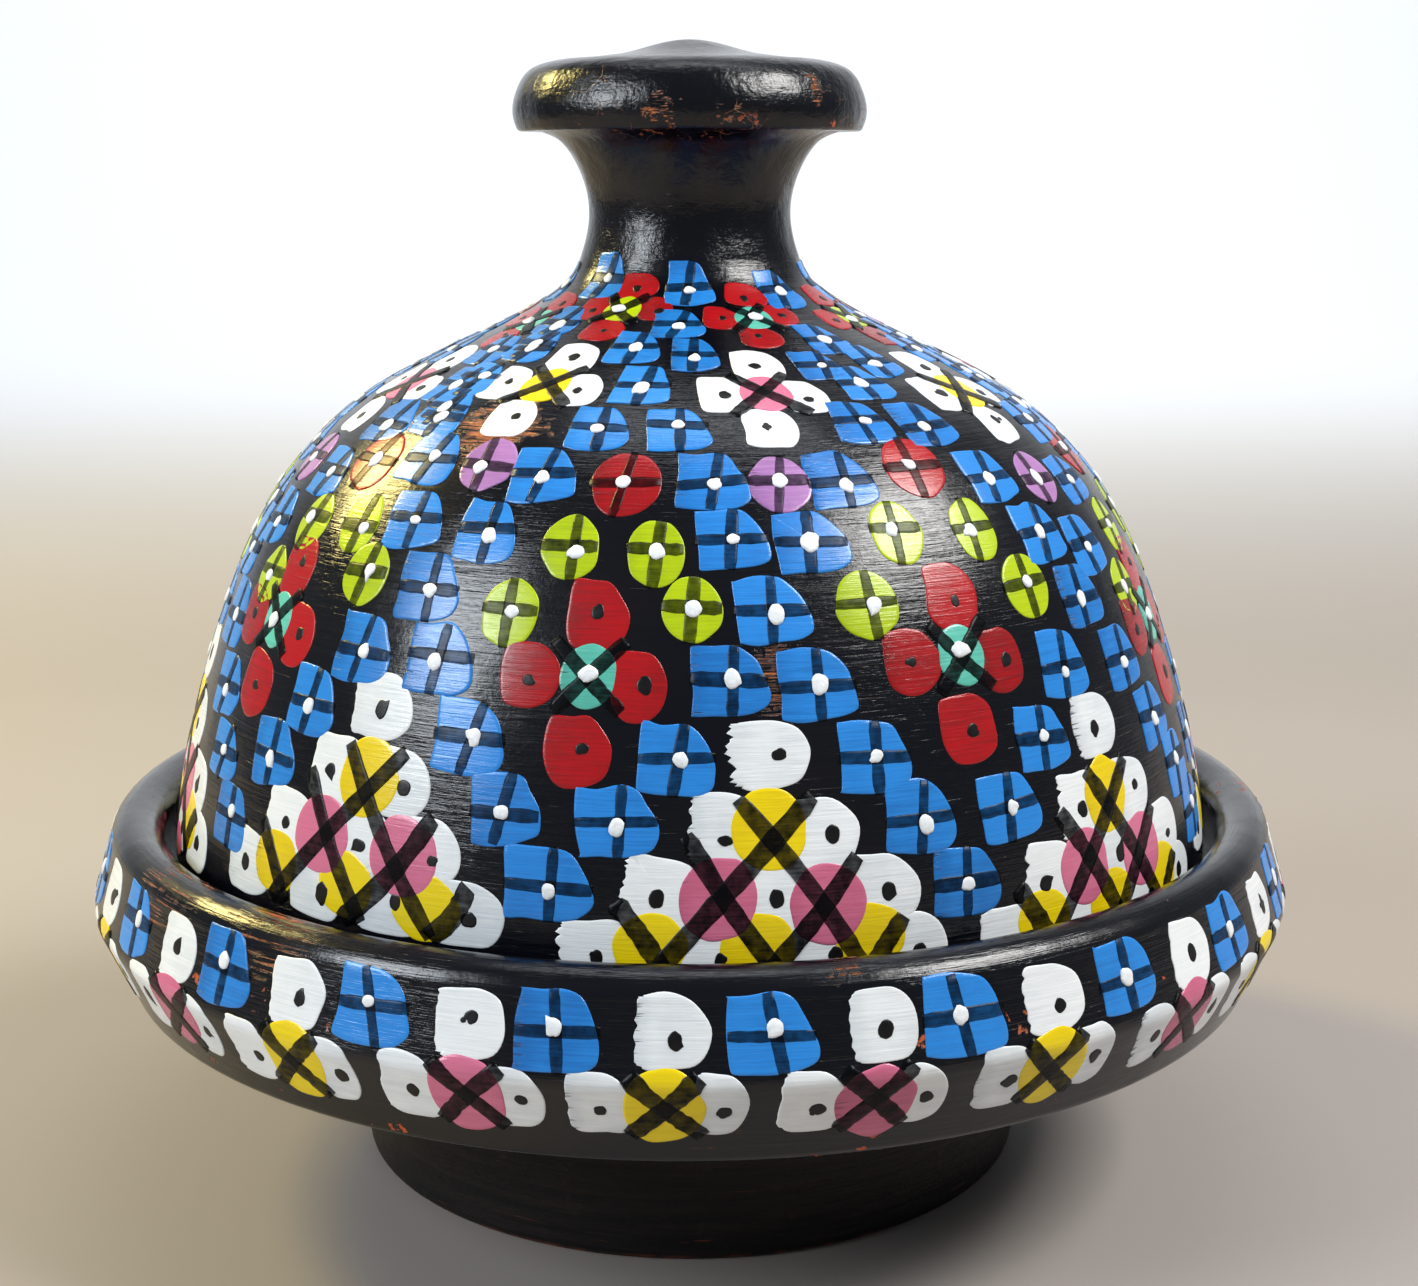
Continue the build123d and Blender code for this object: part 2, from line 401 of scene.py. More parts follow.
# %% Build one pyramid
# Rows: (drop from the tip, spacing, width of a touch). Rounds: (colour, right, up, width, height).
# Lattice: each stroke's two ends as (right, up). All in millimetres from the tip.
PYRAMID_ROWS = [(0.0, 0.0, 7.6), (-7.4, 9.0, 7.8), (-13.5, 10.5, 8.0), (-19.1, 10.9, 8.5)]
PYRAMID_ROUNDS = [("yellow", -0.4, -7.2, 7.4, 8.3),
                  ("pink", -5.6, -13.7, 7.7, 8.1), ("pink", 4.9, -14.3, 8.0, 8.1),
                  ("yellow", -12.3, -18.0, 7.3, 6.6), ("yellow", -1.8, -18.2, 7.5, 6.6),
                  ("yellow", 8.9, -17.8, 7.7, 6.6),
                  ("pink", -7.4, -21.8, 6.6, 3.8), ("pink", 3.2, -21.8, 6.6, 3.8)]
LATTICE = [((-3.6, -4.2), (8.6, -21.8)), ((-8.7, -7.6), (0.4, -21.6)), ((-15.4, -14.0), (-10.2, -21.8)),
           ((3.7, -4.2), (-12.4, -21.6)), ((7.9, -10.2), (-2.0, -21.8)), ((12.3, -16.4), (8.4, -21.8))]


def pyramid(turn, tip, dry_tip, dry_side, right):
    """Ten white touches, the rounds on their seams and the lattice; right below 1 tucks that side in."""
    per_mm = lid_wall.per_mm(tip - 10)
    for row, (drop, spacing, wide) in enumerate(PYRAMID_ROWS):
        for k in range(row + 1):
            x = (k - row / 2) * spacing - 0.25
            x *= min(right, 0.8) if k == 3 else right if x > 0 else 1.0
            lean = 0.6 if k == row and row else -0.5 if k == 0 and row else 0.3
            ragged = 0.1 if k else dry_side if row else dry_tip
            inked_mark(lid, lid_wall, "white", turn + (x + jog(0.2)) * per_mm, tip + drop + jog(0.15),
                       wide + jog(0.25), 6.8 + jog(0.2), PLUMP, ink=(lean, -0.3), size=1.5, ragged=ragged)
    rounds = PYRAMID_ROUNDS[:6] if right < 1 else PYRAMID_ROUNDS      # no room for the last two
    for colour, x, drop, wide, high in rounds:
        if x > 8 and right < 1:
            x, drop = x - 1.0, drop - 1.2
        s = max(tip + drop + jog(0.15), high / 2 + 0.3)
        lay_mark(lid[colour], lid_wall, turn + (x + jog(0.2)) * per_mm, s, wide, high, SPOT, LAYER[colour])
    for number, ((x0, s0), (x1, s1)) in enumerate(LATTICE):
        low = max(0.4, tip + s1)
        x1 = x0 + (x1 - x0) * (tip + s0 - low) / (s0 - s1)
        lay_stroke(lid["stroke"], lid_wall, (turn + x0 * per_mm, tip + s0), (turn + x1 * per_mm, low),
                   2.1 + jog(0.14), LAYER["stroke"] + (OVER if number > 2 else 0), jog(0.35), 18)


print("one pyramid takes", 10 + len(PYRAMID_ROUNDS), "touches and", len(LATTICE), "strokes")

# %% [markdown]
# ## Sectors of the lid
# Nine pyramids stand round the foot of the lid. Between two of them a chain of blue dabs climbs out
# of the valley, passes over the pyramid's tip, parts again round a lilac dab and runs up to the
# neck. A red flower fills the valley under an arch of lime dabs. The painter never drew the same
# sector twice, so three of them are written out in full and used in turn, each about 40 degrees.
# Positions are degrees right of the pyramid's tip and millimetres up the clay. A dab wider than the
# rest has its width as a third number, and "foot" shifts the pyramid and tucks in its right side.
# "join" is the dab over the tip; blossom, crown and star are the flowers, from the valley to the neck.

# %% Three sectors of the pattern
SECTORS = {
    "first": dict(
        tip=27.5, dry=(0.12, 0.10), foot=(0.0, 0.75), join=(2.4, 40.0),
        low_blue=[(19.9, 12.1, 9.2), (15.2, 19.0), (26.3, 18.5, 8.2), (10.8, 25.7), (31.8, 24.5), (5.7, 32.8),
                  (37.3, 31.9)],
        high_blue=[(-3.0, 47.0), (8.2, 46.5), (-6.0, 54.5), (13.2, 53.3), (-11.5, 61.7), (19.0, 60.1)],
        top_blue=[(24.5, 67.5, 6.0, 7.6), (19.5, 75.0, 5.6, 6.8), (34.5, 74.0, 5.0, 7.0),
                  (29.5, 80.3, 5.6, 6.0), (33.0, 87.0, 5.2, 6.2), (-13.0, 67.2, 6.2, 6.8),
                  (-10.0, 75.3, 5.6, 6.8)],
        lime=[(13.1, 38.3, 6.0, 7.0), (19.1, 45.2, 5.9, 7.0), (29.2, 44.6, 5.7, 7.2), (33.4, 39.2, 6.0, 6.7)],
        red=(24.8, 52.7), lilac=(4.2, 54.0), blossom=(22.6, 32.3), crown=(5.0, 67.0), star=(8.0, 83.0)),
    "second": dict(
        tip=24.8, dry=(0.9, 0.32), foot=(0.0, 1.0), join=(0.9, 38.9),
        low_blue=[(19.2, 10.9), (14.7, 17.5), (25.0, 17.4), (10.5, 23.9), (30.7, 23.4), (5.3, 31.3),
                  (36.5, 30.1)],
        high_blue=[(-3.0, 46.3), (6.5, 45.6), (-5.0, 53.1), (12.4, 52.8), (-9.8, 60.0), (20.0, 60.2)],
        top_blue=[(27.0, 67.0, 6.2, 6.8), (21.0, 71.0, 5.4, 6.0), (30.5, 76.4, 5.2, 6.6),
                  (37.0, 71.2, 5.2, 7.0), (33.5, 86.3, 5.2, 6.2), (31.5, 59.6, 7.0, 7.0)],
        lime=[(11.8, 38.9, 6.7, 7.1), (17.8, 46.2, 5.8, 7.1), (29.0, 45.8, 5.5, 7.3), (33.8, 38.8, 6.6, 7.0)],
        red=(24.2, 53.6), lilac=(3.7, 52.5), blossom=(22.0, 32.9), crown=(6.0, 66.0), star=(13.5, 81.3)),
    "third": dict(
        tip=23.2, dry=(0.25, 0.30), foot=(-1.4, 1.0), join=(2.6, 36.6),
        low_blue=[(20.0, 9.4), (16.4, 15.2), (26.0, 16.6), (12.0, 21.7), (31.0, 23.4), (7.4, 29.0),
                  (37.2, 30.0)],
        high_blue=[(-0.6, 44.1), (8.8, 41.6), (-4.6, 51.6), (15.4, 49.0), (20.6, 57.0), (31.0, 58.8)],
        top_blue=[(25.6, 65.0, 6.0, 7.0), (20.6, 72.6, 5.4, 6.6), (33.4, 73.4, 5.2, 6.8),
                  (30.0, 80.0, 5.4, 6.0), (33.2, 86.6, 5.2, 6.2)],
        lime=[(15.0, 35.4, 6.2, 6.6), (19.8, 42.4, 5.8, 7.0), (29.6, 43.6, 5.7, 7.0), (34.2, 37.8, 6.2, 6.8)],
        red=(24.4, 52.4), lilac=(6.0, 50.2), blossom=(20.6, 31.6), crown=(9.0, 63.8), star=(15.6, 80.2)),
}
# Where each sector's pyramid stands, degrees; its drawing; the heart of its white flower; its lift, mm.
ROUND_THE_LID = [
    (-75.0, "third", "pink", 3.0), (-33.2, "first", "yellow", 0.0), (8.0, "second", "pink", 0.0),
    (49.0, "third", "yellow", 0.0), (88.4, "first", "pink", -1.6), (127.7, "second", "yellow", 0.8),
    (167.0, "third", "pink", 1.6), (206.4, "first", "yellow", -0.8), (245.7, "second", "yellow", 1.2)]
print(len(ROUND_THE_LID), "sectors from", len(SECTORS), "drawings")

# %% [markdown]
# ## Painting a sector
# The blue dabs get smaller towards the neck, because the ring they share gets shorter. Everything
# in a sector is placed from its pyramid's tip, with a fraction of a millimetre of hand wander, and
# a sector may sit a little higher or lower than its neighbours, as hand-spaced work does.

# %% Paint the lid, sector by sector
def paint_sector(turn, drawing, crown_colour, lift, wander):
    def at(spot, share=1.0):
        return turn + spot[0] + jog(wander), spot[1] + lift * share + jog(wander)

    pyramid(turn + drawing["foot"][0], drawing["tip"] + lift, *drawing["dry"], drawing["foot"][1])
    for spot in drawing["low_blue"] + [drawing["join"]]:
        wide = spot[2] if len(spot) > 2 else 7.6
        crossed_dab(lid, lid_wall, "blue", *at(spot), wide + jog(0.2), 7.0 + jog(0.2))
    for spot in drawing["high_blue"]:
        wide = 7.2 if spot[1] < 58 else 6.4
        crossed_dab(lid, lid_wall, "blue", *at(spot, 0.6), wide + jog(0.2), 6.8 + jog(0.2))
    for x, s, wide, high in drawing["top_blue"]:
        crossed_dab(lid, lid_wall, "blue", *at((x, s), 0.2), wide, high)
    for x, s, wide, high in drawing["lime"]:
        crossed_dab(lid, lid_wall, "lime", *at((x, s), 0.8), wide, high, SPOT, (0, 0.3))
    crossed_dab(lid, lid_wall, "red", *at(drawing["red"], 0.5), 7.2, 7.8, SPOT)
    crossed_dab(lid, lid_wall, "lilac", *at(drawing["lilac"], 0.5), 6.3, 6.9, SPOT)
    flower(lid, lid_wall, "red", "turquoise", *at(drawing["blossom"], 0.8),
           [(0.6, 5.9, 6.2, 7.2), (-5.8, -0.2, 6.2, 6.6), (5.0, -1.0, 5.6, 6.8), (-0.5, -7.1, 6.7, 7.0)],
           (5.6, 6.3), bead=2.0, reach=4.6)
    flower(lid, lid_wall, "white", crown_colour, *at(drawing["crown"], 0.2),
           [(0.3, 5.4, 5.6, 6.6), (-4.8, 0.2, 5.0, 6.6), (4.2, -0.7, 4.7, 6.0), (-0.7, -5.9, 5.6, 6.0)],
           (5.6, 6.6), reach=4.9, ink=1.2)
    flower(lid, lid_wall, "red", "turquoise" if crown_colour == "pink" else "lime", *at(drawing["star"], 0.0),
           [(0.6, 4.0, 5.0, 3.8), (-3.7, 0.2, 4.2, 4.4), (3.7, 0.4, 4.0, 4.2), (-0.4, -4.2, 5.0, 4.6)],
           (4.4, 4.6), bead=1.7, reach=3.4, ink=1.0)


for turn, drawing, crown_colour, lift in ROUND_THE_LID:
    paint_sector(turn, SECTORS[drawing], crown_colour, lift, 0.1 if abs(turn) < 60 else 0.4)
print("lid marks:", sum(tray.count for tray in lid.values()))

# %% [markdown]
# ## The rim band
# The band repeats two motifs round the dish: a crossed blue dab just below the crest, and a group of
# three white touches, one above and two below, round a yellow or pink spot with a slanting cross.
# Twenty-two of each go round, so that yellow and pink can take turns without a seam.

# %% Paint the rim band
RIM_UNITS = 22
FIRST_DAB = 5.8          # degrees, the blue dab right of the middle
BEHIND = 1.6             # degrees that the painter fell behind on the left, and caught up again
step = 360 / RIM_UNITS
for unit in range(RIM_UNITS):
    turn = FIRST_DAB + unit * step + jog(0.2)
    if turn > 240:
        turn += BEHIND * math.sin(math.radians(min(180, (360 - turn) * 1.6)))
    s = 6.6 + jog(0.2)
    crossed_dab(rim, rim_wall, "blue", turn, s, 8.2 + jog(0.2), 7.5 + jog(0.2))
    group = turn + step / 2 + 0.2
    colour = "pink" if unit % 2 == 0 else "yellow"
    per_mm = rim_wall.per_mm(10)
    for right, down, wide, high in ((0.3, 6.7, 6.9, 6.9), (-6.3, 14.1, 6.6, 7.6), (4.8, 14.0, 5.2, 7.4)):
        inked_mark(rim, rim_wall, "white", group + (right + jog(0.2)) * per_mm, down + jog(0.2),
                   wide + jog(0.2), high + jog(0.2), PLUMP, ink=(0.4, 0.2), size=1.55, ragged=0.18)
    lay_mark(rim[colour], rim_wall, group - 0.2 * per_mm, 14.1 + jog(0.2), 8.2 + jog(0.3), 9.2 + jog(0.3),
             SPOT, LAYER[colour])
    slanting_cross(rim, rim_wall, group - 0.2 * per_mm, 14.1, 4.8, 2.0)
print("rim marks:", sum(tray.count for tray in rim.values()))

# %% [markdown]
# ## A small language for finishes
# Blender's shaders are graphs of nodes. Graphs are hard to read as text, so one small class wraps
# what comes out of a node: arithmetic written on it adds the Math nodes, and `1 - worn` just works.
# A Finish is one material, and its `add` method makes every other node: the node's type, the
# settings that must be chosen first, then the values or links of its sockets.

# %% Wires and finishes
class Wire:
    """The number, colour or vector that comes out of a node."""

    def __init__(self, finish, socket):
        self.finish, self.socket = finish, socket

    def math(self, operation, *values, clamp=False):
        return self.finish.add("Math", {"operation": operation, "use_clamp": clamp}, dict(enumerate(values)))

    def __add__(self, other):
        return self.math("ADD", self, other)

    def __sub__(self, other):
        return self.math("SUBTRACT", self, other)

    def __rsub__(self, other):
        return self.math("SUBTRACT", other, self)

    def __mul__(self, other):
        return self.math("MULTIPLY", self, other)

    __radd__, __rmul__ = __add__, __mul__

    def clip(self):
        return self.math("ADD", self, 0.0, clamp=True)

    def rise(self, low, high):
        """0 below low, 1 above high, and smooth between; swap them for a fall."""
        return self.finish.add("MapRange", {"interpolation_type": "SMOOTHSTEP"},
                               {"Value": self, "From Min": low, "From Max": high})


class Finish:
    """One material, with one Principled shader to fill in."""

    def __init__(self, name):
        self.material = bpy.data.materials.new(name)
        self.material.use_nodes = True
        self.tree = self.material.node_tree
        self.tree.nodes.clear()

    def add(self, kind, settings=None, sockets=None, out=0):
        node = self.tree.nodes.new("ShaderNode" + kind)
        for key, value in (settings or {}).items():
            setattr(node, key, value)
        for key, value in (sockets or {}).items():
            if isinstance(value, Wire):
                self.tree.links.new(value.socket, node.inputs[key])
            else:
                node.inputs[key].default_value = value
        return Wire(self, node.outputs[out]) if len(node.outputs) else None

    def mix(self, share, first, second):
        """first where share is 0, second where it is 1, as colours."""
        return self.add("Mix", {"data_type": "RGBA"}, {0: share, 6: first, 7: second}, out=2)

    def split(self, place):
        """The three numbers of a vector."""
        node = self.add("SeparateXYZ", None, {0: place}).socket.node
        return [Wire(self, output) for output in node.outputs]

    def noise(self, place, scale, detail, rough=0.5):
        return self.add("TexNoise", None,
                        {"Vector": place, "Scale": scale, "Detail": detail, "Roughness": rough})

    def vector(self, x, y, z):
        return self.add("CombineXYZ", None, {0: x, 1: y, 2: z})

    def bump(self, height, depth, normal=None):
        """Raises the surface by height, depth millimetres for 1."""
        sockets = {"Height": height, "Distance": depth * MM, "Strength": 1.0}
        if normal:
            sockets["Normal"] = normal
        return self.add("Bump", None, sockets)

    def surface(self, **sockets):
        shader = self.add("BsdfPrincipled", None, {k.replace("_", " "): v for k, v in sockets.items()})
        self.add("OutputMaterial", None, {"Surface": shader})
        return self


def tint(red, green, blue):
    """A colour as painters' charts give it, 0 to 255, turned into light."""
    def light(c):
        c /= 255
        return c / 12.92 if c < 0.04045 else ((c + 0.055) / 1.055) ** 2.4
    return (light(red), light(green), light(blue), 1.0)


print("white paint as light:", [round(c, 3) for c in tint(235, 238, 238)])

# %% [markdown]
# ## Turning marks
# The clay was turned on a wheel and lacquered while it turned, so fine level ridges run round the
# whole pot and even show through the paint. They could be modelled, but they are thinner than a
# hair, so a bump is the right tool. The noise is stretched: it changes quickly along the clay and
# slowly round it. The direction round the axis goes in as a point on a circle, so no seam is left.

# %% The turned grain
def turned(finish):
    """The place in mm, the height, the point on the circle, and the course, mm up along the clay."""
    here = finish.add("TexCoord", out="Object")
    mm = finish.add("VectorMath", {"operation": "SCALE"}, {0: here, "Scale": 1 / MM})
    x, y, z = finish.split(mm)
    flat = finish.vector(x, y, 0.0)
    radius = finish.add("VectorMath", {"operation": "LENGTH"}, {0: flat}, out="Value")
    east, north, _ = finish.split(finish.add("VectorMath", {"operation": "NORMALIZE"}, {0: flat}))
    return dict(mm=mm, z=z, east=east, north=north, course=(z - radius) * 0.75)


def grain(finish, turn, round_rate, along_rate, detail, rough, shift=0.0):
    """Stretched noise: round_rate changes per radian, along_rate changes per mm up the clay."""
    place = finish.vector(turn["east"] * round_rate, turn["north"] * round_rate,
                          turn["course"] * along_rate + shift)
    return finish.noise(place, 1.0, detail, rough)


print("grain runs level, finest ridge about", 0.3, "mm")

# %% [markdown]
# ## Black lacquer
# The ground is a glossy black lacquer, brushed on over red clay. What makes it read as real is not
# the black but the breaks in the shine: ridges, dull streaks, hairline scratches, and small chips
# on the edges that get knocked, where the orange clay shows. Wear goes where hands and the other
# piece touch: a window in height picks the edge, and noise picks the places on it. The wide clay
# spots on the left, on the lid's shoulder and on the rim's crest, are partly wear and partly a
# painted highlight: the warm lamp's golden glint put into the colour as pale clay.

# %% Mix the lacquer
BLACK = tint(5, 6, 13)
CLAY = tint(178, 78, 38)
PALE_CLAY = tint(208, 122, 64)


def worn_window(z, low, high, soft):
    """1 between the heights low and high, in mm, and 0 outside."""
    return z.rise(low - soft, low + soft) * (1 - z.rise(high - soft, high + soft))


def lacquer(name, edges, wear_and_glint_spots, bare_inside=False, crazed=None, ridge_mm=0.075, lumps=0.25, pitted=0.0):
    """edges: (low, high, how much) heights that chip. wear_and_glint_spots: (place, size mm, how much) worn
    places, some of them also painted highlights, the warm lamp's glint in clay colour.
    crazed: (low, high) heights with hairline cracks. lumps and pitted: how uneven the coat lies."""
    f = Finish(name)
    turn = turned(f)
    ridges = grain(f, turn, 3.2, 1.5, 4.0, 0.66)
    fine = grain(f, turn, 11.0, 4.5, 3.0, 0.7, 31.0)
    grit = f.noise(turn["mm"], 2.1, 2.0, 0.6)
    broad = f.noise(turn["mm"], 0.055, 3.0, 0.5)
    scratch = grain(f, turn, 7.0, 9.0, 1.0, 0.4, 77.0).rise(0.70, 0.78)
    scratch = scratch * f.noise(turn["mm"], 0.16, 1.0).rise(0.48, 0.62)
    chips = f.noise(turn["mm"], 0.62, 5.0, 0.62)
    patch = f.noise(turn["mm"], 0.085, 2.0, 0.5)
    worn = 0.0
    for low, high, much in edges:
        level = 0.74 - 0.11 * much
        bite = (chips + (patch - 0.5) * 0.55).rise(level, level + 0.035)
        worn = bite * worn_window(turn["z"], low, high, 0.5) + worn
    # Spots are worn places; the wide ones on the lid's left shoulder and the rim's left crest are also
    # painted highlights, the warm lamp's golden glint put in as pale clay.
    for place, size, much in wear_and_glint_spots:
        middle = tuple(c / MM for c in place)
        away = f.add("VectorMath", {"operation": "DISTANCE"}, {0: turn["mm"], 1: middle}, out="Value")
        near = (away + (chips - 0.5) * 14).rise(size, size * 0.2)
        streaks = grain(f, turn, 7.0, 3.4, 4.0, 0.75, 12.0)
        worn = (near * (streaks + chips * 0.35).rise(0.80 - 0.12 * much, 0.88 - 0.10 * much)) + worn
    if crazed:
        sway = f.add("TexNoise", None, {"Vector": turn["mm"], "Scale": 0.5, "Detail": 3.0}, out="Color")
        bend = f.add("VectorMath", {"operation": "MULTIPLY_ADD"},
                     {0: sway, 1: (2.4, 2.4, 2.4), 2: turn["mm"]})
        cell = f.add("TexVoronoi", {"feature": "DISTANCE_TO_EDGE"},
                     {"Vector": bend, "Scale": 0.30, "Randomness": 1.0})
        line = cell.rise(0.014, 0.002) * patch.rise(0.54, 0.62) * worn_window(turn["z"], *crazed, 1.0)
        worn = line * 0.5 + worn
    worn = worn.clip()
    ground = f.mix(broad.rise(0.45, 0.8) * 0.35, BLACK, tint(24, 19, 19))
    ground = f.mix(scratch * 0.30, ground, tint(96, 82, 76))
    # Clay colour goes where worn is set: real chips and cracks, and also the painted warm-lamp glints of the
    # wide left spots.
    skin = f.mix(worn, ground, f.mix(chips.rise(0.42, 0.70), PALE_CLAY, CLAY))
    gloss = 0.02 + ridges * 0.12 + fine * 0.14 + broad * 0.06
    gloss = gloss * (1 - worn) + worn * 0.45
    height = ridges + fine * 0.42 + grit * 0.22 - scratch * 0.5
    height = height + f.noise(turn["mm"], 0.55, 5.0, 0.65) * pitted - worn * 2.2
    normal = f.bump(height, ridge_mm, f.bump(f.noise(turn["mm"], 0.10, 2.0), lumps))
    if bare_inside:
        face = f.add("NewGeometry", out="Normal")
        away = f.vector(turn["east"], turn["north"], 0.35)
        outward = f.add("VectorMath", {"operation": "DOT_PRODUCT"}, {0: face, 1: away}, out="Value")
        bare = outward.rise(0.0, -0.06)
        speck = f.noise(turn["mm"], 1.3, 4.0, 0.7)
        clay = f.mix(ridges.rise(0.3, 0.75), f.mix(speck.rise(0.35, 0.7), CLAY, PALE_CLAY), tint(150, 66, 34))
        clay = f.mix(f.noise(turn["mm"], 2.6, 2.0).rise(0.68, 0.76) * 0.6, clay, tint(84, 40, 26))
        skin = f.mix(bare, skin, clay)
        gloss = gloss * (1 - bare) + bare * 0.82
    return f.surface(Base_Color=skin, Roughness=gloss, Normal=normal, IOR=1.5, Specular_IOR_Level=0.42)


# The first lid spot is partly wear and partly a painted highlight, the warm lamp's golden glint; the second
# is worn speckle.
lid_wear_and_glint_spots = [(lid_wall.place(-31.0, 59.3, 0), 5.5, 1.7), (lid_wall.place(8.4, 32.0, 0), 4.0, 1.1)]
knob_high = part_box("lid_knob")[1].z / MM
KNOB_R = 20 * MM
KNOCKS = ((-9, 8.0, 1.5, 1.3), (44, 5.4, 1.2, 1.3), (12, 9.6, 1.5, 1.2), (170, 7.5, 1.8, 1.3))
knob_spots = []
for turn, down, size, much in KNOCKS:
    east, north = math.sin(math.radians(turn)), -math.cos(math.radians(turn))
    knob_spots.append(((KNOB_R * east, KNOB_R * north, (knob_high - down) * MM), size, much))
dish_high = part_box("dish_bowl")[1].z / MM
# The first two rim spots are chips; the two wide ones on the left crest are partly wear and partly painted
# highlights, the warm lamp's glint in clay colour.
rim_wear_and_glint_spots = [(rim_wall.place(12.0, 0.5, 0), 1.7, 0.9), (rim_wall.place(2.0, 17.5, 0), 2.2, 0.9),
             (rim_wall.place(-54.0, 0.6, 0), 8.0, 0.7), (rim_wall.place(-38.0, 0.8, 0), 7.0, 0.8)]
finishes = {
    "lid_dome": lacquer("black_lacquer_lid", [(36.0, 38.4, 0.6)], lid_wear_and_glint_spots, bare_inside=True),
    "lid_knob": lacquer("black_lacquer_knob",
                        [(knob_high - 10.8, knob_high - 8.8, 0.75), (knob_high - 8.0, knob_high - 2.4, 0.34)],
                        knob_spots, crazed=(knob_high - 11.0, knob_high - 2.0), ridge_mm=0.055, lumps=0.8,
                        pitted=3.0),
    "dish_bowl": lacquer("black_lacquer_dish",
                         [(dish_high - 1.6, dish_high + 1, 0.25), (23.0, 26.4, 0.35), (35.4, 37.6, 0.7)],
                         rim_wear_and_glint_spots),
}
print("lacquers:", sorted(finishes))

# %% [markdown]
# ## The foot
# The foot was only wiped with thinned black, so the clay's red shows through as thin level
# scratches, and it never shines. It gets the same turned grain, with more colour and less gloss.

# %% Wash the foot
def foot_wash():
    f = Finish("foot_wash")
    turn = turned(f)
    ridges = grain(f, turn, 2.4, 1.6, 4.0, 0.65)
    thin = grain(f, turn, 3.4, 3.2, 3.0, 0.7, 19.0)
    scuffs = f.noise(turn["mm"], 0.30, 5.0, 0.7)
    show = thin.rise(0.66, 0.74) * f.noise(turn["mm"], 0.09, 2.0).rise(0.40, 0.62)
    under = f.mix(scuffs.rise(0.35, 0.65), tint(120, 40, 24), tint(150, 74, 40))
    wash = f.mix(ridges.rise(0.35, 0.72), tint(9, 7, 8), tint(28, 20, 18))
    wash = f.mix(scuffs.rise(0.56, 0.75) * 0.4, wash, tint(54, 40, 34))
    low_edge = worn_window(turn["z"], -1.0, 0.5, 0.4) * scuffs.rise(0.42, 0.55)
    worn = (show * 0.75 + low_edge * 0.8).clip()
    normal = f.bump(ridges + thin * 0.5 - worn * 0.6, 0.10, f.bump(scuffs, 0.12))
    return f.surface(Base_Color=f.mix(worn, wash, under), Roughness=0.40 + ridges * 0.24 + worn * 0.15,
                     Normal=normal, IOR=1.45, Specular_IOR_Level=0.35)


finishes["dish_foot"] = foot_wash()
for name, finish in finishes.items():
    nodes[name].data.materials.clear()
    nodes[name].data.materials.append(finish.material)
print("finishes on the turned pieces:", len(finishes))

# %% [markdown]
# ## Paints
# The colours are thick, slightly glossy paints. One brush leaves fine level bristle lines, and
# where it ran dry the black under it greys the colour. A flat colour would look printed, so each
# paint is its full colour, a deeper one where it is thin, and a few dark bristle gaps.

# %% Mix the paints
def brushed(finish):
    """What the brush left on the mesh: how far from the landing edge, how high, and its lucky number."""
    return finish.split(finish.add("Attribute", {"attribute_name": "brush"}, out="Vector"))


def paint(name, full, thin, gaps):
    """full and thin are the colours of a thick and a thin coat; gaps is how black dry bristles leave it."""
    f = Finish(name)
    turn = turned(f)
    landing, _, luck = brushed(f)
    ridges = grain(f, turn, 3.2, 1.5, 4.0, 0.66)
    bristle = grain(f, turn, 8.0, 3.6, 3.0, 0.68, 50.0)
    cloud = f.noise(turn["mm"], 0.22, 3.0, 0.55)
    hair = grain(f, turn, 5.0, 3.4, 4.0, 0.7, 9.0)
    start = landing.rise(0.34, 0.02) * luck.rise(0.35, 1.0)
    dry = (hair + start * 0.22).rise(0.73, 0.82)
    sparse = (bristle * 0.7 + cloud * 0.5 + luck * 0.25 + start * 0.2).rise(0.55, 1.05)
    colour = f.mix(dry * gaps, f.mix(sparse * 0.75, full, thin), BLACK)
    height = ridges * 0.7 + bristle * 0.6 + cloud * 0.4 - dry * 0.5
    return f.surface(Base_Color=colour, Roughness=0.08 + bristle * 0.22 + cloud * 0.10,
                     Normal=f.bump(height, 0.062), IOR=1.5, Specular_IOR_Level=0.45)


PAINTS = {
    "blue": paint("blue_paint", tint(42, 130, 210), tint(22, 92, 162), gaps=0.6),
    "white": paint("white_paint", tint(227, 230, 231), tint(192, 199, 204), gaps=0.8),
    "yellow": paint("yellow_paint", tint(230, 204, 14), tint(206, 176, 10), gaps=0.5),
    "pink": paint("pink_paint", tint(204, 110, 140), tint(176, 82, 112), gaps=0.5),
    "red": paint("red_paint", tint(168, 18, 24), tint(104, 10, 14), gaps=0.7),
    "lime": paint("lime_paint", tint(174, 196, 16), tint(138, 158, 10), gaps=0.6),
    "turquoise": paint("turquoise_paint", tint(98, 190, 170), tint(60, 146, 132), gaps=0.6),
    "lilac": paint("lilac_paint", tint(172, 122, 178), tint(132, 88, 142), gaps=0.7),
}
print("paints:", len(PAINTS))

# %% [markdown]
# ## Thin black and thick white
# The dark strokes were drawn with thinned black, so the colour below still tints them. Alpha does
# that, and a little noise in it makes the stroke pool and break. The lattice over the pyramids was
# drawn with a fuller brush than the fine crosses on the dabs, so each stroke's lucky number says how
# strong it is. The beads are thick white drops.

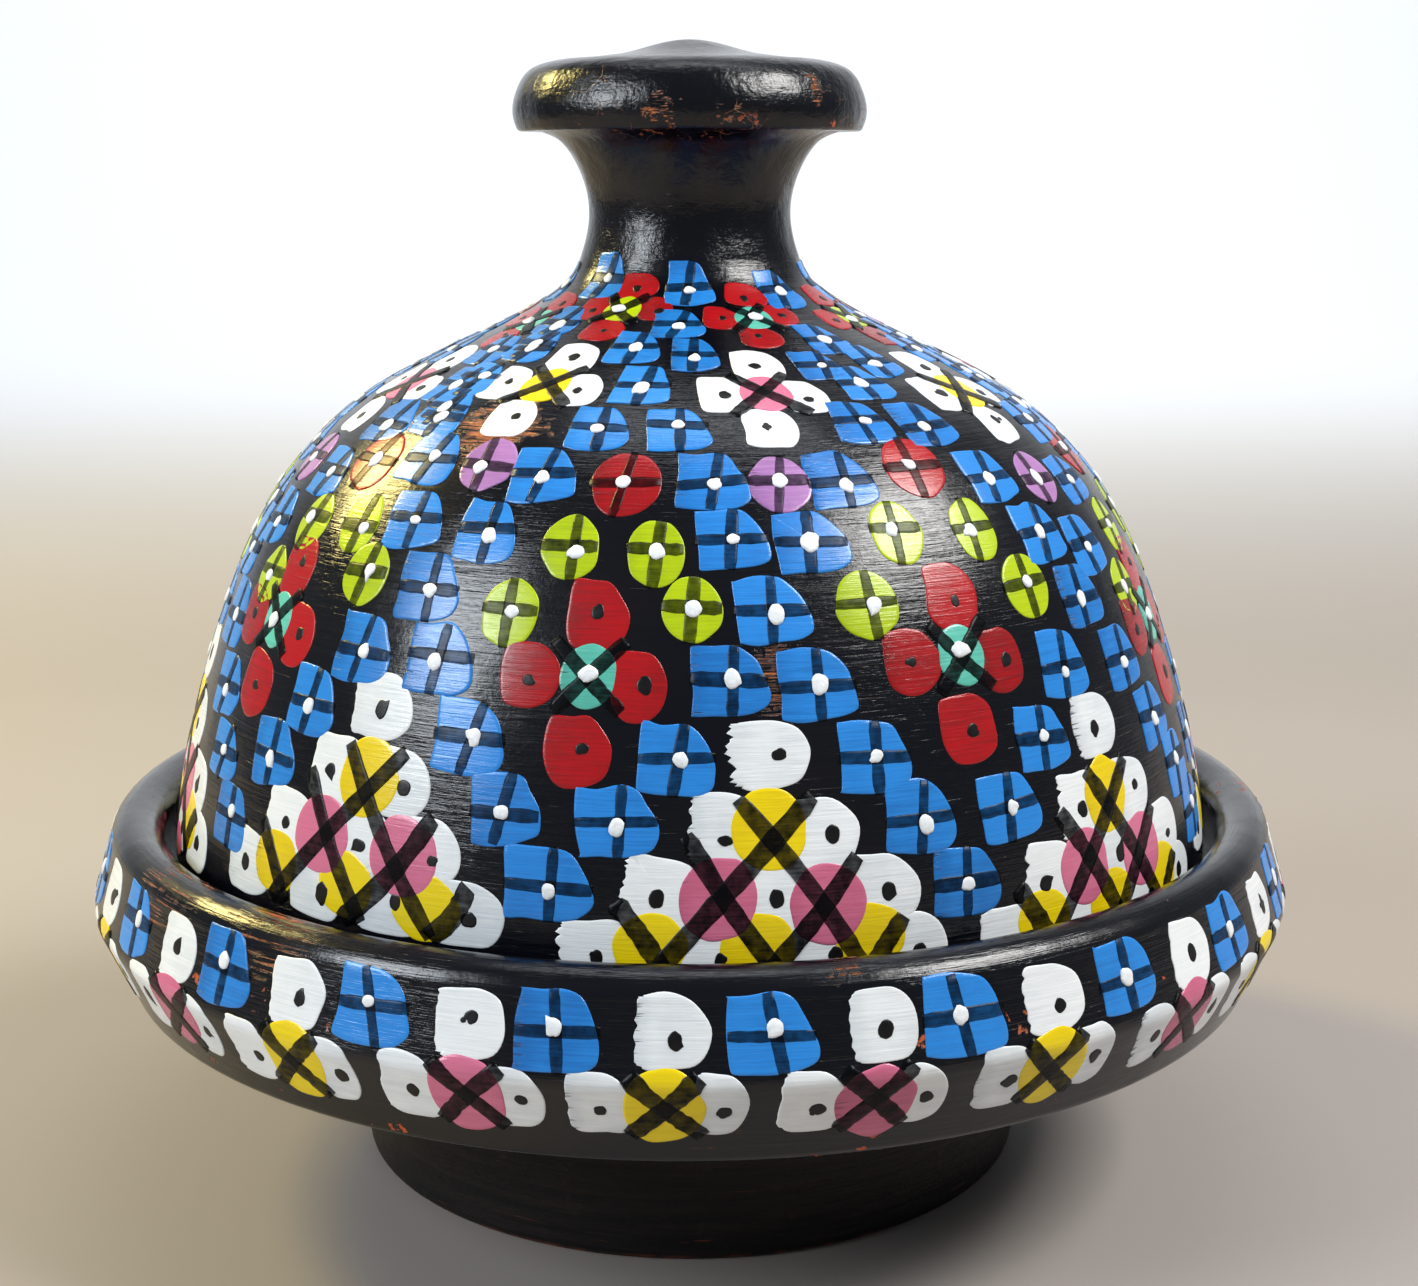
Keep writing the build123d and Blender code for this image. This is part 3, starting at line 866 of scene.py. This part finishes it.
# %% Mix the strokes and beads
def thin_black():
    f = Finish("thin_black")
    turn = turned(f)
    pool = f.noise(turn["mm"], 0.9, 3.0, 0.6)
    bristle = grain(f, turn, 9.0, 5.0, 2.0, 0.6, 5.0)
    strong = brushed(f)[2]
    cover = (0.60 + strong * 0.19 + (pool - 0.5) * 0.55 + (bristle - 0.5) * 0.35).clip()
    return f.surface(Base_Color=tint(4, 5, 8), Alpha=cover, Roughness=0.24 + bristle * 0.12, IOR=1.47,
                     Specular_IOR_Level=0.16, Normal=f.bump(bristle + pool * 0.5, 0.02))


def ink_black():
    f = Finish("ink_black")
    turn = turned(f)
    pool = f.noise(turn["mm"], 1.4, 2.0, 0.5)
    return f.surface(Base_Color=f.mix(pool, tint(6, 6, 8), tint(18, 17, 18)), Roughness=0.26 + pool * 0.2,
                     Normal=f.bump(pool, 0.03), IOR=1.47, Specular_IOR_Level=0.35)


def bead_white():
    f = Finish("bead_white")
    turn = turned(f)
    lump = f.noise(turn["mm"], 1.6, 3.0, 0.5)
    return f.surface(Base_Color=f.mix(lump, tint(236, 238, 240), tint(206, 212, 216)),
                     Roughness=0.30 + lump * 0.18, Normal=f.bump(lump, 0.10), IOR=1.47)


DARK, INK, BEAD = thin_black(), ink_black(), bead_white()
for trays in (lid, rim):
    for kind, tray in trays.items():
        tray.fire({"stroke": DARK, "ink": INK, "bead": BEAD}.get(kind) or PAINTS[kind])

# %% [markdown]
# ## The studio
# A pale floor sweeps up into a white wall, so there is no hard horizon. Three soft lamps do the
# main work: a large one high on the right draws the long streaks on the dome, a cool one on the left
# gives the veil that shows the ridges, and a small warm one behind the left shoulder glints. A weak
# one overhead lights the crest of the rim, and a wide one washes the wall alone.

# %% Floor and lamps
def sweep():
    """A floor that curves up into a backdrop."""
    f = Finish("pale_floor")
    place = f.add("TexCoord", out="Object")
    soft = f.noise(place, 3.0, 3.0, 0.5)
    back = f.split(place)[1]
    ground = f.mix(soft, tint(148, 140, 134), tint(157, 149, 143))
    f.surface(Base_Color=f.mix(back.rise(0.22, 1.05), ground, tint(238, 240, 242)), Roughness=0.7)
    side = [(y, 0.0) for y in (-1.6, -0.4, 0.4, 0.9)]
    side += [(0.9 + 0.7 * math.sin(t), 0.7 - 0.7 * math.cos(t)) for t in np.linspace(0, math.pi / 2, 13)[1:]]
    side += [(1.6, 2.2)]
    points = [(x, y, z) for y, z in side for x in (-2.4, 2.4)]
    faces = [(2 * k, 2 * k + 1, 2 * k + 3, 2 * k + 2) for k in range(len(side) - 1)]
    mesh = bpy.data.meshes.new("pale_floor")
    mesh.from_pydata(points, [], faces)
    mesh.shade_smooth()
    mesh.materials.append(f.material)
    floor = bpy.data.objects.new("pale_floor", mesh)
    bpy.context.scene.collection.objects.link(floor)


def lamp(name, way, far, wide, high, watts, colour, aim=(0, 0, 0.075)):
    """A soft rectangular lamp, far metres along way from aim."""
    light = bpy.data.lights.new(name, "AREA")
    light.shape, light.size, light.size_y = "RECTANGLE", wide, high
    light.energy, light.color = watts, colour
    piece = bpy.data.objects.new(name, light)
    bpy.context.scene.collection.objects.link(piece)
    way = Vector(way).normalized()
    piece.location = Vector(aim) + way * far
    piece.rotation_euler = way.to_track_quat("Z", "Y").to_euler()


sweep()
lamp("soft_right", (0.64, -0.19, 0.74), 0.75, 0.40, 0.24, 7.2, (1.0, 0.99, 0.97))
lamp("cool_left", (-0.76, -0.45, 0.46), 0.80, 0.30, 0.30, 5.2, (0.88, 0.94, 1.0))
lamp("warm_left", (-0.71, 0.40, 0.57), 0.60, 0.13, 0.13, 2.9, (1.0, 0.82, 0.30))
lamp("overhead", (0.05, 0.22, 1.0), 0.75, 0.5, 0.16, 1.1, (0.93, 0.96, 1.0))
lamp("wall_wash", (0.0, -1.05, 0.35), 1.10, 1.8, 0.4, 14.5, (0.97, 0.98, 1.0), aim=(0, 1.6, 0.6))

world = bpy.data.worlds.new("soft_room")
world.use_nodes = True
world.node_tree.nodes["Background"].inputs["Color"].default_value = (0.82, 0.90, 1.0, 1.0)
world.node_tree.nodes["Background"].inputs["Strength"].default_value = 0.21
bpy.context.scene.world = world
bpy.context.scene.view_settings.view_transform = "Standard"

# %% [markdown]
# ## The camera
# The pot is seen from close by and a little above, so the near side of the rim drops and the lid
# looms. The camera stands in front, tips down about twelve degrees and turns a hair to the right.

# %% Camera
lens = bpy.data.cameras.new("bench_camera")
lens.lens, lens.sensor_width = 57.12, 36.0
lens.clip_start = 0.01
camera = bpy.data.objects.new("bench_camera", lens)
bpy.context.scene.collection.objects.link(camera)
camera.location = (0.0, -0.264, 0.1166)
camera.rotation_euler = (math.radians(90 - 12.07), 0.0, math.radians(-0.48))
bpy.context.scene.camera = camera
